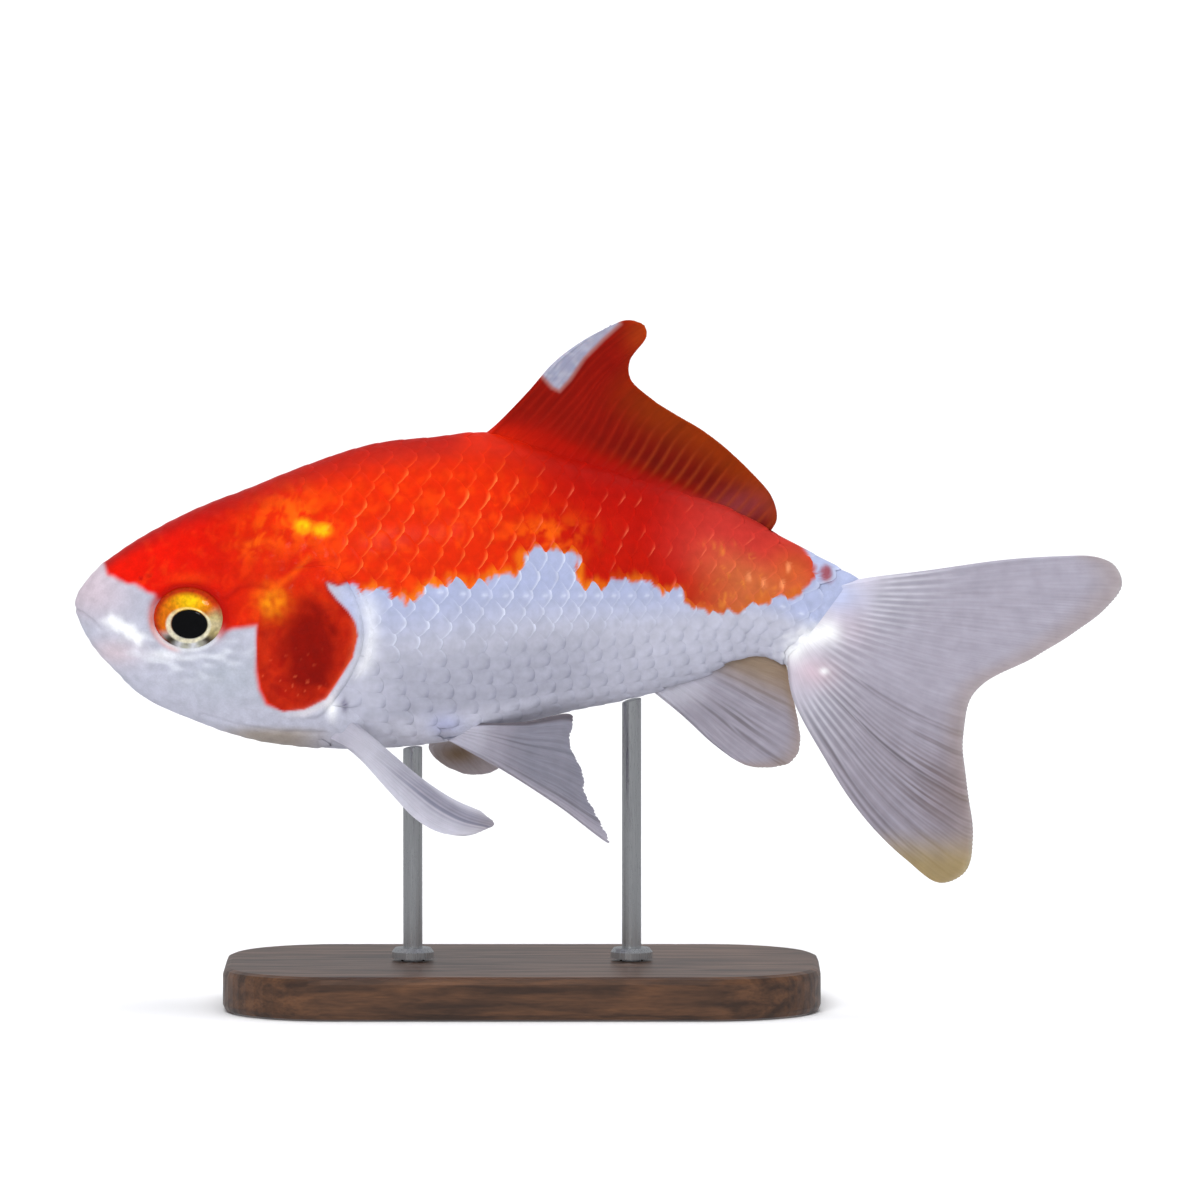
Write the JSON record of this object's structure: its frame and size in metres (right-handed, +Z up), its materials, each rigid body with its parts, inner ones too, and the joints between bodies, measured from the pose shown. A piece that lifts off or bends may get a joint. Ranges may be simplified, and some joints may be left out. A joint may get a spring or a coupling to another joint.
{
  "type": "goldfish",
  "caption": "Still life-size model of a red and white goldfish, fins spread and tail bent as in swimming, held by short rods over a flat display base.",
  "frame": {"origin": "centre of the underside of the stand's base, on the surface the model stands on", "axes": "+X from the snout towards the tail, +Z up, so -Y is the fish's left side"},
  "size_m": [0.1182, 0.0408, 0.0782],
  "materials": {
    "skin": "wet satin scales, red over pearl white",
    "eye": "glossy, golden iris round a black pupil",
    "red_fin": "thin translucent fin, dark red with orange rays",
    "white_fin": "thin translucent fin, lilac grey with pale rays",
    "stand_wood": "dark oiled wood",
    "stand_steel": "fine brushed"
  },
  "bodies": {
    "root": {"head": "skin", "gill_cover_left": "skin", "gill_cover_right": "skin", "trunk": "skin", "tail_root": "skin", "eye_left": "eye", "eye_right": "eye", "dorsal_fin": "red_fin", "caudal_fin_upper": "white_fin", "caudal_fin_lower": "white_fin", "anal_fin": "white_fin", "pelvic_fin_left": "white_fin", "pelvic_fin_right": "white_fin", "pectoral_fin_left": "white_fin", "pectoral_fin_right": "white_fin", "stand_base": "stand_wood", "stand_rod_front": "stand_steel", "stand_rod_rear": "stand_steel"}
  },
  "joints": []
}
